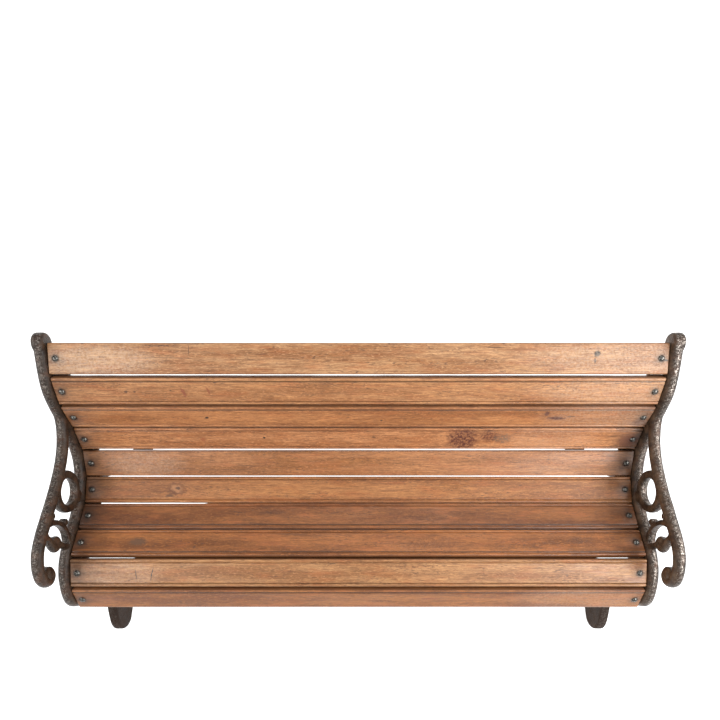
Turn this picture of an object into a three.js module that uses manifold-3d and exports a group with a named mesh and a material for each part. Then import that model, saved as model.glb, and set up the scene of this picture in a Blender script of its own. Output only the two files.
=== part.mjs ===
// Garden bench: ten bolted timber slats on two cast iron end frames.
// Millimetres, +Z up, +X along the bench, -Y to the front, origin on the ground under the middle.
import * as THREE from 'three';
import { mergeVertices } from 'three/addons/utils/BufferGeometryUtils.js';
import Module from 'manifold-3d';

const wasm = await Module();
wasm.setup();

// Driving dimensions
const slatLength = 1520;
const slatWidth = 73;
const topSlatWidth = 76;
const slatThickness = 21;
const slatGap = 5.8;
// Fall of each slat towards the front, in degrees, from the top of the back to the front roll.
const slatTilts = [26, 52, 69, 58, 35, 11, -10, -12, 21, 55];
const anchorSlat = 6;
const anchorPoint = new THREE.Vector2(-57, 413);
const touchGap = 0.3;

const railWidth = 30;
const railInnerX = 762;
const railMidX = railInnerX + railWidth / 2;
const railTop = 22;
const railBottom = -22;
const ledgeReach = 36;
const ledgeThickness = 9;

const arris = 2;
const beadRadius = 4.5;
const quirkWidth = 1.5;
const quirkDepth = 1.5;

const boltInset = 18;
const boltHoleRadius = 3.7;
const holeSides = 8;
const shankRadius = 3;
const headRadius = 7.5;
const headHeight = 4.8;
const nutWidth = 12;
const nutThickness = 6;
const threadPastNut = 4;
const seatRadius = 10;
const seatDepth = 20;

// Heights of the ledge's two faces above the middle of the slat that lies on it.
const ledgeFace = -slatThickness / 2 - touchGap;
const ledgeUnderside = ledgeFace - ledgeThickness;

const colours = { iron: 0x3a302b, timber: 0x9a6a45, fastener: 0x4a4f4a };

// Turns a shape drawn in x and y, and extruded along z, into the YZ plane and along X.
const planeToWorld = new THREE.Matrix4().makeBasis(
  new THREE.Vector3(0, 1, 0),
  new THREE.Vector3(0, 0, 1),
  new THREE.Vector3(1, 0, 0),
);

// ---------------------------------------------------------------- solids

function toSolid(geometry) {
  const bare = geometry.clone();
  bare.deleteAttribute('normal');
  bare.deleteAttribute('uv');
  const merged = mergeVertices(bare, 1e-4);
  const triVerts = [];
  for (let i = 0; i < merged.index.count; i += 3) {
    const [a, b, c] = [merged.index.getX(i), merged.index.getX(i + 1), merged.index.getX(i + 2)];
    if (a !== b && b !== c && a !== c) triVerts.push(a, b, c);
  }
  const mesh = new wasm.Mesh({
    numProp: 3,
    vertProperties: new Float32Array(merged.attributes.position.array),
    triVerts: new Uint32Array(triVerts),
  });
  return new wasm.Manifold(mesh);
}

function toGeometry(solid) {
  const mesh = solid.getMesh();
  const geometry = new THREE.BufferGeometry();
  geometry.setAttribute('position', new THREE.BufferAttribute(mesh.vertProperties, 3));
  geometry.setIndex(new THREE.BufferAttribute(mesh.triVerts, 1));
  geometry.computeVertexNormals();
  return geometry;
}

function join(geometries) {
  return geometries.map(toSolid).reduce((whole, piece) => whole.add(piece));
}

function mirrored(geometry) {
  const copy = geometry.clone().scale(-1, 1, 1);
  const index = copy.index.array;
  for (let i = 0; i < index.length; i += 3) {
    [index[i], index[i + 1]] = [index[i + 1], index[i]];
  }
  copy.computeVertexNormals();
  return copy;
}

function makeMesh(name, geometry, colour, roughness, metalness) {
  const material = new THREE.MeshStandardMaterial({ color: colour, roughness, metalness });
  const mesh = new THREE.Mesh(geometry, material);
  mesh.name = name;
  return mesh;
}

// ---------------------------------------------------------------- slat layout

function widthOf(i) {
  return i === 0 ? topSlatWidth : slatWidth;
}

// Half of a slat's width and half of a gap: how far it reaches towards the next slat.
function halfLink(i) {
  return (widthOf(i) + slatGap) / 2;
}

// Slats are links of a chain: each meets the next half a link from its centre.
function layOutSlats() {
  const step = (i) => {
    const angle = THREE.MathUtils.degToRad(slatTilts[i]);
    return new THREE.Vector2(-Math.cos(angle), -Math.sin(angle)).multiplyScalar(halfLink(i));
  };
  const centres = [];
  centres[anchorSlat] = anchorPoint.clone();
  for (let i = anchorSlat + 1; i < slatTilts.length; i += 1) {
    centres[i] = centres[i - 1].clone().add(step(i - 1)).add(step(i));
  }
  for (let i = anchorSlat - 1; i >= 0; i -= 1) {
    centres[i] = centres[i + 1].clone().sub(step(i + 1)).sub(step(i));
  }
  return centres.map((centre, i) => {
    const angle = THREE.MathUtils.degToRad(slatTilts[i]);
    return {
      centre,
      angle,
      back: new THREE.Vector2(Math.cos(angle), Math.sin(angle)),
      up: new THREE.Vector2(-Math.sin(angle), Math.cos(angle)),
    };
  });
}

const slats = layOutSlats();

// A point in a slat's own frame: across runs to the back, height is above the middle of the slat.
function onSlat(slat, across, height) {
  return slat.centre.clone().addScaledVector(slat.back, across).addScaledVector(slat.up, height);
}

// The line at one height above all the slats, mitred where two slats meet.
function slatLine(height, frontEnd, backEnd) {
  const points = [onSlat(slats[0], backEnd, height)];
  for (let i = 0; i < slats.length - 1; i += 1) {
    const turn = slats[i + 1].angle - slats[i].angle;
    points.push(onSlat(slats[i], -halfLink(i) - height * Math.tan(turn / 2), height));
  }
  points.push(onSlat(slats[slats.length - 1], -frontEnd, height));
  return points;
}

// ---------------------------------------------------------------- slats

// One long edge of a slat's section, from the underside to the face, on the +x side.
function edgeLine(edge, halfWidth) {
  const halfThickness = slatThickness / 2;
  const line = new THREE.Path();
  line.moveTo(halfWidth - arris, -halfThickness);
  line.lineTo(halfWidth, -halfThickness + arris);
  if (edge === 'bead') {
    line.absarc(halfWidth - beadRadius, halfThickness - beadRadius, beadRadius, 0, Math.PI * 0.85);
    const quirkInner = halfWidth - 2 * beadRadius - quirkWidth;
    line.lineTo(quirkInner + 1, halfThickness - quirkDepth);
    line.lineTo(quirkInner, halfThickness);
  } else {
    line.absarc(halfWidth - edge, halfThickness - edge, edge, 0, Math.PI / 2);
  }
  return line.getPoints(3);
}

// An edge is 'bead', or the radius of a plain rounded edge.
function slatSection(backEdge, frontEdge, width) {
  const back = edgeLine(backEdge, width / 2);
  const front = edgeLine(frontEdge, width / 2).map((p) => new THREE.Vector2(-p.x, p.y)).reverse();
  return new THREE.Shape([...back, ...front]);
}

function slatGeometry(backEdge, frontEdge, width) {
  const section = slatSection(backEdge, frontEdge, width);
  const plank = new THREE.ExtrudeGeometry(section, { depth: slatLength, bevelEnabled: false });
  plank.translate(0, 0, -slatLength / 2);
  plank.applyMatrix4(planeToWorld);
  let solid = toSolid(plank);
  for (const side of [-1, 1]) {
    const hole = new THREE.CylinderGeometry(boltHoleRadius, boltHoleRadius, slatThickness + 4, holeSides);
    hole.rotateX(Math.PI / 2);
    hole.translate(side * (slatLength / 2 - boltInset), 0, 0);
    solid = solid.subtract(toSolid(hole));
  }
  return toGeometry(solid);
}

// ---------------------------------------------------------------- fasteners

// Dome-headed coach bolt, its axis on Z and its head resting on the slat's face.
function boltGeometry() {
  const under = slatThickness / 2 + touchGap;
  const tip = ledgeUnderside - touchGap - nutThickness - threadPastNut;
  const profile = [new THREE.Vector2(0, tip), new THREE.Vector2(shankRadius, tip + 0.8)];
  profile.push(new THREE.Vector2(shankRadius, under), new THREE.Vector2(headRadius, under));
  const dome = new THREE.EllipseCurve(0, under + 1, headRadius, headHeight - 1, 0, Math.PI / 2);
  profile.push(...dome.getPoints(3));
  profile[profile.length - 1].x = 0;
  return new THREE.LatheGeometry(profile, 10).rotateX(Math.PI / 2);
}

// Square nut under the ledge.
function nutGeometry() {
  const half = nutWidth / 2;
  const shape = new THREE.Shape();
  shape.moveTo(-half, -half);
  shape.lineTo(half, -half);
  shape.lineTo(half, half);
  shape.lineTo(-half, half);
  shape.closePath();
  const bore = new THREE.Path();
  bore.absarc(0, 0, boltHoleRadius, 0, Math.PI * 2, true);
  shape.holes.push(bore);
  const nut = new THREE.ExtrudeGeometry(shape, {
    depth: nutThickness,
    bevelEnabled: false,
    curveSegments: holeSides / 2,
  });
  return nut.translate(0, 0, ledgeUnderside - touchGap - nutThickness);
}

// ---------------------------------------------------------------- end frame

function curveInPlane(points, x) {
  return new THREE.CatmullRomCurve3(points.map((p) => new THREE.Vector3(x, p.x, p.y)), false, 'centripetal');
}

// Half-round section: x across the casting, y out from the frame.
function crownedSection(width, top, bottom) {
  const half = width / 2;
  const shape = new THREE.Shape();
  shape.moveTo(-half, bottom);
  shape.lineTo(half, bottom);
  shape.absarc(0, top - half, half, 0, Math.PI);
  shape.closePath();
  return shape;
}

// A bar of one section along a curve that runs from the front to the back, so its crown faces out.
function bar(points, section, steps) {
  return new THREE.ExtrudeGeometry(section, {
    steps,
    bevelEnabled: false,
    curveSegments: 2,
    extrudePath: curveInPlane(points, railMidX),
  });
}

// A disc with a rounded rim, its axis along X.
function disc(centre, radius, width, rim, segments) {
  const half = width / 2;
  const profile = [
    [0, -half],
    [radius - rim, -half],
    [radius, -half + rim],
    [radius, half - rim],
    [radius - rim, half],
    [0, half],
  ].map(([x, y]) => new THREE.Vector2(x, y));
  const geometry = new THREE.LatheGeometry(profile, segments);
  geometry.rotateZ(Math.PI / 2);
  return geometry.translate(railMidX, centre.x, centre.y);
}

// A ring with a rounded section, its axis along X.
function ring(centre, outer, inner, width, segments) {
  const edge = 4;
  const half = width / 2;
  const profile = [
    [inner, -half + edge],
    [inner + edge, -half],
    [outer - edge, -half],
    [outer, -half + edge],
    [outer, half - edge],
    [outer - edge, half],
    [inner + edge, half],
    [inner, half - edge],
    [inner, -half + edge],
  ].map(([x, y]) => new THREE.Vector2(x, y));
  const geometry = new THREE.LatheGeometry(profile, segments);
  geometry.rotateZ(Math.PI / 2);
  return geometry.translate(railMidX, centre.x, centre.y);
}

const at = (y, z) => new THREE.Vector2(y, z);

// Centres and radii of the round features of the casting, in the YZ plane.
const topKnob = { centre: at(311, 706), radius: 26 };
const armRoll = { centre: at(-229, 511), radius: 29 };
const armRing = { centre: at(-6, 490), outer: 57, inner: 35 };
const scroll = { centre: at(-147, 500), radius: 23.5 };

const railSection = crownedSection(railWidth, railTop, railBottom);
const armSection = crownedSection(railWidth, 10, -9);
const strapSection = crownedSection(22, 7.5, -7.5);

// A point on a spiral round a centre, from an angle in degrees and a radius.
function polar(centre, degrees, radius) {
  const angle = THREE.MathUtils.degToRad(degrees);
  return at(centre.x + radius * Math.cos(angle), centre.y + radius * Math.sin(angle));
}

// Front leg, front roll, seat and back are one continuous rail.
function mainRail() {
  const leg = [at(-283, 60), at(-262, 108), at(-241, 165), at(-238, 230), at(-255, 292), at(-271, 345)];
  const along = slats.map((slat) => onSlat(slat, 0, 0)).reverse();
  return bar([...leg, ...along, topKnob.centre], railSection, 58);
}

// Flange under the slats: a flat land for each slat on top, one smooth curve below.
function ledge() {
  const top = slatLine(ledgeFace, 35, 35);
  const below = slats.map((slat) => onSlat(slat, 0, ledgeUnderside));
  const backEnd = onSlat(slats[0], 35, ledgeUnderside);
  const frontEnd = onSlat(slats[slats.length - 1], -33, ledgeUnderside);
  const bottom = new THREE.SplineCurve([backEnd, ...below, frontEnd]).getPoints(44);
  const outline = new THREE.Shape([...top, ...bottom.reverse()]);
  const overlap = 4;
  const plate = new THREE.ExtrudeGeometry(outline, { depth: ledgeReach + overlap, bevelEnabled: false });
  plate.applyMatrix4(planeToWorld);
  return plate.translate(railInnerX - ledgeReach, 0, 0);
}

function rearLeg() {
  const path = [at(62, 408), at(104, 330), at(150, 235), at(205, 140), at(262, 72), at(300, 45)];
  return bar(path, railSection, 14);
}

// A foot as a flat casting with rounded edges, its sole cut level at the ground later.
function foot(outline) {
  const rounding = 6;
  const corners = outline.map((p) => new THREE.Vector3(p.x, p.y, 0));
  const loop = new THREE.CatmullRomCurve3(corners, true, 'centripetal');
  const shape = new THREE.Shape(loop.getSpacedPoints(26).slice(1).map((p) => at(p.x, p.y)));
  const geometry = new THREE.ExtrudeGeometry(shape, {
    depth: railWidth - 2 * rounding,
    bevelThickness: rounding,
    bevelSize: rounding,
    bevelOffset: -rounding,
    bevelSegments: 1,
  });
  geometry.applyMatrix4(planeToWorld);
  return geometry.translate(railInnerX + rounding, 0, 0);
}

function frontFoot() {
  return foot([
    at(-240, 172), at(-268, 138), at(-306, 108), at(-334, 80), at(-345, 47), at(-333, 12), at(-300, -10),
    at(-264, -10), at(-240, 15), at(-228, 55), at(-219, 105), at(-220, 150),
  ]);
}

function rearFoot() {
  return foot([
    at(232, 120), at(264, 93), at(302, 79), at(331, 62), at(345, 35), at(335, 5), at(309, -10),
    at(284, -10), at(262, 12), at(241, 44), at(223, 72), at(210, 102),
  ]);
}

function arm() {
  const roll = [[40, 11], [-20, 14], [-75, 19], [-130, 21], [-180, 20], [-225, 23]];
  const path = [
    ...roll.map(([degrees, radius]) => polar(armRoll.centre, degrees, radius)),
    at(-224, 549), at(-190, 564), at(-150, 566), at(-80, 555), at(0, 542), at(70, 540), at(120, 550),
    at(165, 574), at(196, 616),
  ];
  return bar(path, armSection, 38);
}

// The ornament between the arm and the seat: a C-scroll with two cusps, and a volute on a stem.
function scrollwork() {
  const cScroll = [at(-142, 565), at(-110, 550), at(-94, 507), at(-104, 464), at(-134, 440)];
  const curl = [[40, 11], [-20, 14], [-80, 16], [-140, 16], [-180, 16]];
  const volute = [
    ...curl.map(([degrees, radius]) => polar(scroll.centre, degrees, radius)),
    at(-153, 521), at(-143, 540), at(-150, 564),
  ];
  return [
    bar(cScroll, strapSection, 12),
    bar(volute, strapSection, 16),
    bar([at(-148, 436), at(-146, 490)], strapSection, 1),
    disc(scroll.centre, scroll.radius - 5, 16, 3, 16),
    disc(at(-84, 538), 9, 20, 3, 10),
    disc(at(-85, 475), 9, 20, 3, 10),
    disc(at(-137, 549), 8, 20, 3, 10),
  ];
}

// The ring under the arm, on a small saddle where it meets the seat rail.
function ringUnderArm() {
  return [
    ring(armRing.centre, armRing.outer, armRing.inner, 24, 26),
    disc(at(armRing.centre.x, 434), 14, 22, 4, 10),
  ];
}

function legArch() {
  const path = [
    at(-245, 232), at(-205, 304), at(-140, 358), at(-55, 386), at(28, 372), at(88, 336), at(136, 262),
  ];
  return bar(path, crownedSection(22, 10, -10), 18);
}

function endFrameGeometry() {
  const pieces = [
    mainRail(),
    rearLeg(),
    frontFoot(),
    rearFoot(),
    ledge(),
    arm(),
    legArch(),
    disc(topKnob.centre, topKnob.radius, railWidth, 6, 20),
    disc(armRoll.centre, armRoll.radius - 6, 22, 3, 18),
    disc(armRoll.centre, 9, railWidth, 3, 10),
    ...ringUnderArm(),
    ...scrollwork(),
  ];
  let solid = join(pieces);
  // Flat soles on the ground.
  const ground = new THREE.BoxGeometry(200, 1000, 100).translate(railMidX, 0, -50);
  solid = solid.subtract(toSolid(ground));
  // A bolt hole and a flat nut seat under each slat.
  for (const slat of slats) {
    const hole = new THREE.CylinderGeometry(boltHoleRadius, boltHoleRadius, 60, holeSides);
    const seat = new THREE.CylinderGeometry(seatRadius, seatRadius, seatDepth, holeSides);
    seat.translate(0, ledgeUnderside - seatDepth / 2, 0);
    for (const cutter of [hole.rotateX(Math.PI / 2), seat.rotateX(Math.PI / 2)]) {
      cutter.rotateX(slat.angle);
      cutter.translate(slatLength / 2 - boltInset, slat.centre.x, slat.centre.y);
      solid = solid.subtract(toSolid(cutter));
    }
  }
  return toGeometry(solid);
}

// ---------------------------------------------------------------- assembly

const bench = new THREE.Group();

const rightFrame = endFrameGeometry();
bench.add(makeMesh('right_end_frame', rightFrame, colours.iron, 0.6, 0.8));
bench.add(makeMesh('left_end_frame', mirrored(rightFrame), colours.iron, 0.6, 0.8));

// Long edges of each slat, back and front: 'bead', or the radius of a plain rounded edge.
const beaded = slatGeometry('bead', 'bead', slatWidth);
const topSlat = slatGeometry(5, 4, topSlatWidth);
const plain = slatGeometry(3, 3, slatWidth);
const nosed = slatGeometry('bead', 9, slatWidth);
const slatShapes = [topSlat, beaded, beaded, beaded, plain, beaded, beaded, beaded, beaded, nosed];
const bolt = boltGeometry();
const nut = nutGeometry();

slats.forEach((slat, i) => {
  const number = String(i + 1).padStart(2, '0');
  const row = new THREE.Group();
  row.position.set(0, slat.centre.x, slat.centre.y);
  row.rotation.x = slat.angle;
  row.add(makeMesh(`slat_${number}`, slatShapes[i], colours.timber, 0.7, 0));
  for (const [sideName, side] of [['left', -1], ['right', 1]]) {
    const boltMesh = makeMesh(`bolt_${number}_${sideName}`, bolt, colours.fastener, 0.5, 0.9);
    const nutMesh = makeMesh(`nut_${number}_${sideName}`, nut, colours.fastener, 0.6, 0.9);
    for (const mesh of [boltMesh, nutMesh]) {
      mesh.position.x = side * (slatLength / 2 - boltInset);
      row.add(mesh);
    }
  }
  bench.add(row);
});

export default bench;
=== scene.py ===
import math

import bmesh
import bpy
import numpy as np
from mathutils import Matrix, Vector, noise


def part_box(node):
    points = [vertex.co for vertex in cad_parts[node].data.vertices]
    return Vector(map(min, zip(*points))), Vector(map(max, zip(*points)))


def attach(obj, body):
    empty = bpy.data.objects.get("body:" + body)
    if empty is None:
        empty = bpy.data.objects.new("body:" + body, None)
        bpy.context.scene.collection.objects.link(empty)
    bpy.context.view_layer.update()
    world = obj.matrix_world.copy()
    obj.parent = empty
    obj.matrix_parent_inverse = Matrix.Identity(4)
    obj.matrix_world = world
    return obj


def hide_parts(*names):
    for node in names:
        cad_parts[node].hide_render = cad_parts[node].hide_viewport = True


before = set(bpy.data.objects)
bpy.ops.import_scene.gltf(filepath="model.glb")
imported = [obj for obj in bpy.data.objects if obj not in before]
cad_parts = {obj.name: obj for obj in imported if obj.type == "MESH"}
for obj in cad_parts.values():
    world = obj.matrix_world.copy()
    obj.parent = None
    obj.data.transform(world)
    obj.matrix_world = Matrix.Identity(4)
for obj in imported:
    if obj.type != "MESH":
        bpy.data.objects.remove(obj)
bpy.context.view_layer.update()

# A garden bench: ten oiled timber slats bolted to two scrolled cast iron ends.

# Sizes in millimetres: X along the bench, Y to the back, Z up.
MM = 0.001
SLAT_LENGTH = 1520
SLAT_WIDTHS = [76] + [73] * 9
SLAT_THICKNESS = 21
SLAT_TOP = SLAT_THICKNESS / 2
SLAT_GAP = 5.8
SLAT_TILTS = [26, 52, 69, 58, 35, 11, -10, -12, 21, 55]
ANCHOR_SLAT = 6
ANCHOR_POINT = (-57, 413)
ARRIS = 2
BEAD = 4.5
QUIRK_WIDTH = 1.5
QUIRK_DEPTH = 1.5
BOLT_X = SLAT_LENGTH / 2 - 18
RAIL_X = 777
RAIL_WIDTH = 30
LEDGE_THICKNESS = 9
LEDGE_INNER_X = RAIL_X - 51
LEDGE_OUTER_X = RAIL_X - 6
# Two faces that meet stay this far apart.
GAP = 0.3
# A turned shape closes to this radius on its axis.
AXIS = 0.1


# ---------------------------------------------------------------- where the slats lie

def turn_of(degrees):
    """The unit vectors to the back and up of a slat at a tilt, in the YZ plane."""
    angle = math.radians(degrees)
    back = np.array([math.cos(angle), math.sin(angle)])
    up = np.array([-math.sin(angle), math.cos(angle)])
    return back, up


def half_link(i):
    """Half of a slat and half of a gap: how far a slat reaches towards the next one."""
    return (SLAT_WIDTHS[i] + SLAT_GAP) / 2


def lay_out_slats():
    """The middle of each slat in the YZ plane. The slats are links of a chain."""
    half = [turn_of(tilt)[0] * half_link(i) for i, tilt in enumerate(SLAT_TILTS)]
    middles = {ANCHOR_SLAT: np.array(ANCHOR_POINT, float)}
    for i in range(ANCHOR_SLAT + 1, len(SLAT_TILTS)):
        middles[i] = middles[i - 1] - half[i - 1] - half[i]
    for i in range(ANCHOR_SLAT - 1, -1, -1):
        middles[i] = middles[i + 1] + half[i + 1] + half[i]
    return [middles[i] for i in range(len(SLAT_TILTS))]


MIDDLES = lay_out_slats()


def on_slat(i, towards_back, height):
    """A point in the YZ plane, measured from a slat's middle along its width and out of its face."""
    back, up = turn_of(SLAT_TILTS[i])
    return MIDDLES[i] + back * towards_back + up * height


def slat_place(i):
    """The matrix that puts a slat's own axes on the bench: X along, Y to the back, Z out of its face."""
    y, z = MIDDLES[i] * MM
    return Matrix.Translation((0, y, z)) @ Matrix.Rotation(math.radians(SLAT_TILTS[i]), 4, "X")


# ---------------------------------------------------------------- making meshes

def loft(rings, closed=False):
    """Skins rings of points one after the other. An open run is capped at both ends."""
    rings = np.asarray(rings, float)
    count, size = rings.shape[:2]
    faces = []
    for i in range(count if closed else count - 1):
        here, there = i * size, (i + 1) % count * size
        for j in range(size):
            k = (j + 1) % size
            faces.append((here + j, here + k, there + k, there + j))
    if not closed:
        faces.append(tuple(range(size - 1, -1, -1)))
        faces.append(tuple(range((count - 1) * size, count * size)))
    return rings.reshape(-1, 3), faces


def mesh_of(name, parts, sharp=35):
    """One mesh from several (points, faces) in millimetres, its normals outward.

    Its edges show as sharp from an angle in degrees."""
    points, faces = [], []
    for part_points, part_faces in parts:
        start = len(points)
        points.extend(np.asarray(part_points, float) * MM)
        faces.extend([tuple(start + k for k in face) for face in part_faces])
    mesh = bpy.data.meshes.new(name)
    mesh.from_pydata([tuple(p) for p in points], [], faces)
    work = bmesh.new()
    work.from_mesh(mesh)
    bmesh.ops.recalc_face_normals(work, faces=work.faces)
    work.to_mesh(mesh)
    work.free()
    mesh.shade_smooth()
    mesh.set_sharp_from_angle(angle=math.radians(sharp))
    return mesh


def show(name, data):
    """A new object in the scene, at the origin."""
    shown = bpy.data.objects.new(name, data)
    bpy.context.scene.collection.objects.link(shown)
    return shown


def piece(name, mesh, material, node, place=Matrix.Identity(4)):
    """Shows a mesh in the place of a CAD node."""
    made = show(name, mesh)
    made.matrix_world = place
    if not mesh.materials:
        mesh.materials.append(material)
    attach(made, "root")
    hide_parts(node)


def wander(point, size, seed):
    """Smooth noise from about -1 to 1 whose bumps are about a size in millimetres."""
    return noise.noise(Vector(point) / size + Vector((seed * 7.3, seed * 3.1, seed * 1.7)))


def even_line(points, spacing, closed=False):
    """A centripetal Catmull-Rom curve through points, cut into even steps."""
    cuts_per_stretch = 16
    p = [np.array(q, float) for q in points]
    ends = [p[-1], *p, p[0], p[1]] if closed else [2 * p[0] - p[1], *p, 2 * p[-1] - p[-2]]
    line = []
    for a, b, c, d in zip(ends, ends[1:], ends[2:], ends[3:]):
        tb = math.dist(a, b) ** 0.5
        tc = tb + math.dist(b, c) ** 0.5
        td = tc + math.dist(c, d) ** 0.5
        t = np.linspace(tb, tc, cuts_per_stretch, endpoint=False)[:, None]
        ab = a + (b - a) * t / tb
        bc = b + (c - b) * (t - tb) / (tc - tb)
        cd = c + (d - c) * (t - tc) / (td - tc)
        abc = ab + (bc - ab) * t / tc
        bcd = bc + (cd - bc) * (t - tb) / (td - tb)
        line.append(abc + (bcd - abc) * (t - tb) / (tc - tb))
    line = np.vstack([*line, p[0] if closed else p[-1]])
    run = np.concatenate([[0], np.cumsum(np.linalg.norm(np.diff(line, axis=0), axis=1))])
    steps = np.linspace(0, run[-1], max(3, round(run[-1] / spacing) + 1))
    line = np.stack([np.interp(steps, run, line[:, k]) for k in range(line.shape[1])], 1)
    return line[:-1] if closed else line


def once_round(count, first=0):
    """Even angles once round a circle."""
    return np.linspace(0, 2 * math.pi, count, endpoint=False) + first


# ---------------------------------------------------------------- slats

# How far a slat is off its clean shape: its arrises rubbed back, its face in slow waves and fine ripples,
# and sunk along its middle.
RUBBED = 0.45
WAVE = 0.16
RIPPLE = 0.06
SUNK = 0.25
SUNK_HALF_WIDTH = 30
# How far the end of a slat is drawn in at each distance from the saw cut.
EASED_END = [(0, 1.1), (0.3, 0.5), (1, 0.1), (2.2, 0)]


def bend_up(middle, height, radius, last, count):
    """An arc from its outermost point upwards to a last angle in degrees, as (across, height)."""
    turns = [math.radians(degrees) for degrees in np.linspace(0, last, count)]
    return [(middle + radius * math.cos(a), height + radius * math.sin(a)) for a in turns]


def edge_line(edge, half):
    """One long edge of a slat's section from the underside to the face, as (across, height).

    The edge is a bead with its quirk, or else the radius of a plain round edge."""
    line = [(half - 12, -SLAT_TOP), (half - ARRIS, -SLAT_TOP)]
    line += [(half - 0.5, -SLAT_TOP + 0.6), (half, -SLAT_TOP + ARRIS)]
    if edge == "bead":
        line += bend_up(half - BEAD, SLAT_TOP - BEAD, BEAD, 153, 14)
        quirk = half - 2 * BEAD - QUIRK_WIDTH
        line += [(quirk + 0.9, SLAT_TOP - QUIRK_DEPTH), (quirk + 0.4, SLAT_TOP - 1.1)]
        line += [(quirk + 0.1, SLAT_TOP - 0.4), (quirk - 0.5, SLAT_TOP - 0.05), (quirk - 3, SLAT_TOP)]
    else:
        line += bend_up(half - edge, SLAT_TOP - edge, edge, 90, 9)
        line.append((half - edge - 4, SLAT_TOP))
    return line


def slat_section(back_edge, front_edge, half):
    """The whole section as (across, height) points, with more of them over the flat face and underside."""
    back = edge_line(back_edge, half)
    front = [(-a, h) for a, h in edge_line(front_edge, half)][::-1]
    face = [(a, SLAT_TOP) for a in np.linspace(back[-1][0], front[0][0], 9)[1:-1]]
    under = [(a, -SLAT_TOP) for a in np.linspace(front[-1][0], back[0][0], 7)[1:-1]]
    return np.array(back + face + front + under)


def slat_mesh(i, edges, grow_back, grow_front):
    """A slat as sawn, moulded and weathered: uneven in width, its arrises rubbed and its face worn."""
    half_width, half_length = SLAT_WIDTHS[i] / 2, SLAT_LENGTH / 2
    section = slat_section(*edges, half_width)
    # How near each point is to a corner: 1 at the corners, 0 along the flats.
    corners = np.minimum(1, 3 * np.abs(section / (half_width, SLAT_TOP)).prod(1) ** 6)
    ends = [(half_length - back, inset) for back, inset in EASED_END]
    stations = [(-x, inset) for x, inset in ends]
    stations += [(x, 0) for x in np.linspace(8 - half_length, half_length - 8, 150)]
    stations += ends[::-1]
    rings = []
    for x, inset in stations:
        ring = []
        for (a, h), corner in zip(section, corners):
            rub = RUBBED * corner * max(0, wander((x, a, h), 55, i + 20) + 0.1)
            swell = WAVE * wander((x, a * 4, h), 160, i) + RIPPLE * wander((x, a * 3, h), 24, i + 40)
            swell -= SUNK * max(0, 1 - (a / SUNK_HALF_WIDTH) ** 2)
            grow = grow_back(x) if a > 0 else grow_front(x)
            stretch = 1 + (grow - inset - rub) / half_width
            squeeze = 1 - (inset + rub) / SLAT_TOP
            ring.append((x, a * stretch, h * squeeze + swell * (h > 0)))
        rings.append(ring)
    return mesh_of(f"slat_{i + 1:02d}", [loft(rings)], sharp=28)


# ---------------------------------------------------------------- end frames

CAST_ARRIS = 1.5
# Middles of the round parts in the YZ plane.
TOP_KNOB = (311, 706)
ARM_ROLL = (-229, 511)
ARM_RING = (-6, 490)
VOLUTE = (-147, 500)


def crowned(width, top, bottom):
    """Half-round section of a cast band, as (across, outward)."""
    half = width / 2
    turns = np.linspace(0, math.pi, 17)
    crown = [(half * math.cos(a), top - half + half * math.sin(a)) for a in turns]
    back_edge = [(half - CAST_ARRIS, bottom), (half, bottom + CAST_ARRIS)]
    return [*back_edge, *crown, (-half, bottom + CAST_ARRIS), (-half + CAST_ARRIS, bottom)]


def band(path, section, spacing=5):
    """Carries a section along a path in the YZ plane. Its outward side is on the left of travel."""
    line = even_line(path, spacing)
    along = np.gradient(line, axis=0)
    along /= np.linalg.norm(along, axis=1)[:, None]
    rings = []
    for (y, z), (ty, tz) in zip(line, along):
        rings.append([(RAIL_X + a, y - tz * h, z + ty * h) for a, h in section])
    return loft(rings)


def turned(profile, sides=40):
    """Rings round the z axis, one for each (radius, height)."""
    return [[(r * math.cos(a), r * math.sin(a), z) for a in once_round(sides)] for r, z in profile]


def about_x(rings, centre):
    """Turns rings made round z so that they lie round X, through a centre in the YZ plane."""
    return [[(RAIL_X + z, centre[0] + x, centre[1] + y) for x, y, z in ring] for ring in rings]


def disc(centre, radius, width, rim):
    """A boss with a rounded rim, its axis along X."""
    half = width / 2
    turns = np.linspace(0, 1.57, 6)
    quarter = [(radius - rim + rim * math.sin(a), half - rim + rim * math.cos(a)) for a in turns]
    profile = [(AXIS, half), *quarter, *[(r, -x) for r, x in quarter[::-1]], (AXIS, -half)]
    return loft(about_x(turned(profile), centre))


def hoop(centre, outer, inner, width):
    """The ring under the arm: a round-edged section turned about X."""
    middle, half = (outer + inner) / 2, (outer - inner) / 2
    rings = []
    for a in once_round(72):
        ring = []
        for b in once_round(20):
            r = middle + half * np.sign(math.cos(b)) * abs(math.cos(b)) ** 0.7
            x = width / 2 * np.sign(math.sin(b)) * abs(math.sin(b)) ** 0.7
            ring.append((RAIL_X + x, centre[0] + r * math.cos(a), centre[1] + r * math.sin(a)))
        rings.append(ring)
    return loft(rings, closed=True)


def slab(outline, rounding):
    """A flat casting of the rail's width with a closed smooth outline and rounded edges."""
    line = even_line(outline, 5, closed=True)
    along = np.roll(line, -1, 0) - np.roll(line, 1, 0)
    along /= np.linalg.norm(along, axis=1)[:, None]
    inward = np.stack([-along[:, 1], along[:, 0]], 1)
    area = np.sum(line[:, 0] * np.roll(line[:, 1], -1) - line[:, 1] * np.roll(line[:, 0], -1))
    inward *= np.sign(area)
    half = RAIL_WIDTH / 2
    turns = np.linspace(0, math.pi / 2, 5)
    near = [(-half + rounding * (1 - math.sin(a)), rounding * (1 - math.cos(a))) for a in turns]
    steps = sorted(near + [(-x, d) for x, d in near])
    return loft([[(RAIL_X + x, *(p + n * d)) for p, n in zip(line, inward)] for x, d in steps])


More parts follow.
